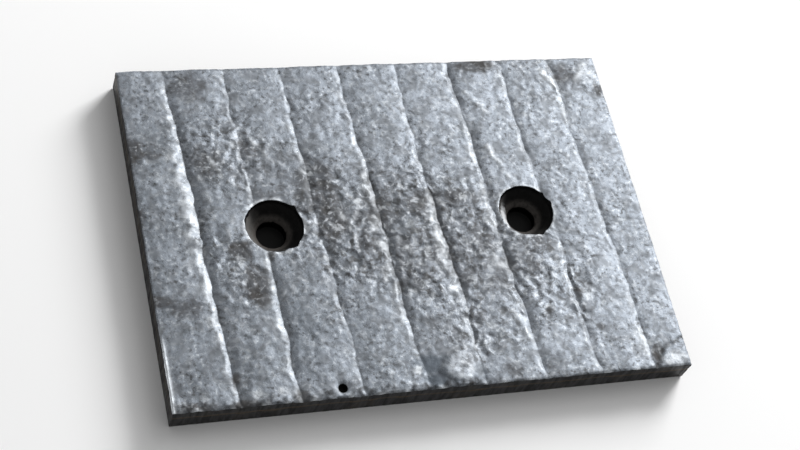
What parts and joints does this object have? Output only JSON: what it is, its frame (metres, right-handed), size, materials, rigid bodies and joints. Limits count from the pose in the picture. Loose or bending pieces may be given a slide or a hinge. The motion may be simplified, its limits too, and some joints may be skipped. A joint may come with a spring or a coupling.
{
  "type": "wear liner plate",
  "caption": "Flat rectangular hardfaced steel wear plate, weld beads side by side over its face, with countersunk bolt holes on its long centre line.",
  "frame": {"origin": "centre of the flat mounting face, under the middle of the plate", "axes": "+X along the plate's length, through both bolt holes; +Y along its width; +Z out of the hardfaced wear face"},
  "size_m": [0.3, 0.215, 0.0166],
  "materials": {
    "hardfaced_steel": "rough weld metal with dark heat scale and brown rust stain"
  },
  "bodies": {
    "root": {"liner_plate": "hardfaced_steel"}
  },
  "joints": []
}
